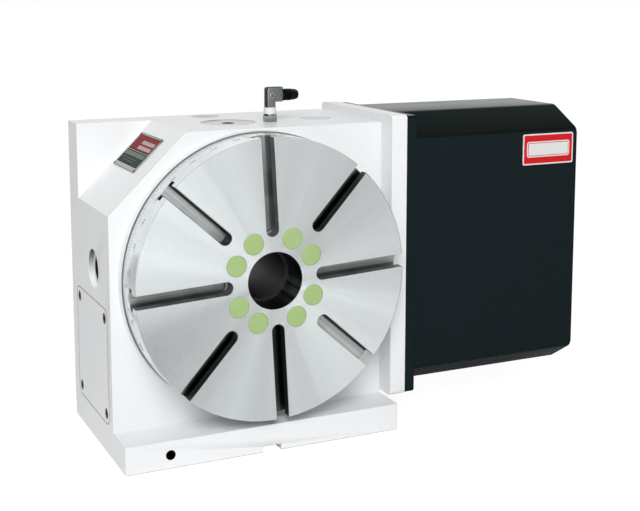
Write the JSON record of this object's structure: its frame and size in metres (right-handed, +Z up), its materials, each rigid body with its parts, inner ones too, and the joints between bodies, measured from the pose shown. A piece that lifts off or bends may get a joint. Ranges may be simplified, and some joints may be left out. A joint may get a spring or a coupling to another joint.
{
  "type": "cnc rotary table",
  "caption": "Upright CNC rotary table: T-slotted faceplate on a worm-driven spindle with a hydraulic brake, a white housing and a black motor cover.",
  "frame": {"origin": "on the base face, under the spindle axis, at mid-depth of the base", "axes": "+Z up from the base, the faceplate faces -Y along the spindle axis, the motor cover lies at +X"},
  "size_m": [0.495, 0.186, 0.3227],
  "materials": {
    "housing_paint": "satin white enamel over cast iron",
    "plate_steel": "fine turned steel with concentric marks",
    "plug_green": "soft green plastic",
    "machined_steel": "machined steel",
    "bearing_steel": "ground bearing steel",
    "black_screw": "black oxide steel",
    "bright_screw": "zinc plated steel",
    "bronze": "wheel bronze, cut teeth",
    "seal_rubber": "nitrile rubber",
    "cover_black": "smooth black enamel",
    "cast_grey": "machined cast iron",
    "aluminium": "milled aluminium",
    "motor_black": "matt black motor enamel",
    "black_plastic": "black nylon",
    "sight_dark": "dark clear window",
    "window_blue": "pale blue window",
    "fitting_dark": "phosphated steel fitting",
    "band_pale": "pale sealing band",
    "nameplate": "printed aluminium plate without words"
  },
  "bodies": {
    "frame": {"housing": "housing_paint", "front_oil_seal": "seal_rubber", "front_bearing_outer": "bearing_steel", "brake_reaction_ring": "machined_steel", "brake_cylinder": "cast_grey", "rear_bearing_outer": "bearing_steel", "rear_carrier": "cast_grey", "rear_carrier_screws": "black_screw", "rear_cover": "machined_steel", "rear_cover_screws": "black_screw", "rear_oil_seal": "seal_rubber", "home_sensor": "bright_screw", "side_cover": "housing_paint", "side_cover_screws": "black_screw", "side_sight_glass": "sight_dark", "oil_level_window": "window_blue", "top_plug": "machined_steel", "hydraulic_elbow": "fitting_dark", "elbow_seal_band": "band_pale", "nameplate": "nameplate", "drive_flange": "housing_paint", "drive_flange_screws": "black_screw", "worm_oil_seal": "seal_rubber", "worm_bearings_outer": "bearing_steel", "worm_retainers": "machined_steel", "motor_plate": "aluminium", "motor_plate_pillars": "machined_steel", "motor_plate_screws": "black_screw", "servo_motor": "motor_black", "motor_screws": "black_screw", "motor_encoder": "black_plastic", "motor_cover": "cover_black", "motor_cover_screws": "black_screw", "cable_gland": "black_plastic"},
    "table": {"faceplate": "plate_steel", "faceplate_plugs": "plug_green", "faceplate_screws": "black_screw", "spindle": "machined_steel", "front_bearing_inner": "bearing_steel", "spindle_spacer": "machined_steel", "brake_disc": "machined_steel", "worm_wheel": "bronze", "wheel_key": "machined_steel", "rear_bearing_inner": "bearing_steel", "spindle_locknut": "machined_steel", "home_dog": "machined_steel"},
    "brake_piston_body": {"brake_piston": "cast_grey"},
    "worm": {"worm_shaft": "machined_steel", "worm_bearings_inner": "bearing_steel", "worm_locknut": "machined_steel", "worm_gear_sleeve": "machined_steel", "worm_gear": "machined_steel", "worm_gear_nut": "machined_steel"},
    "motor_rotor": {"motor_shaft": "machined_steel", "motor_pinion": "machined_steel"}
  },
  "joints": [
    {"name": "table_turn", "type": "hinge", "parent": "frame", "child": "table", "pos_m": [0, 0, 0.16], "axis": [0, 1, 0], "continuous": true},
    {"name": "worm_turn", "type": "hinge", "parent": "frame", "child": "worm", "pos_m": [0, 0.022, 0.07], "axis": [1, 0, 0], "continuous": true},
    {"name": "motor_turn", "type": "hinge", "parent": "frame", "child": "motor_rotor", "pos_m": [0.16, 0.011, 0.13], "axis": [1, 0, 0], "continuous": true},
    {"name": "brake_stroke", "type": "slide", "parent": "frame", "child": "brake_piston_body", "axis": [0, -1, 0], "range_m": [0, 0.0004]}
  ],
  "couplings": [
    {"joint": "worm_turn", "follows": "table_turn", "ratio": 72},
    {"joint": "motor_turn", "follows": "table_turn", "ratio": -74.4}
  ]
}
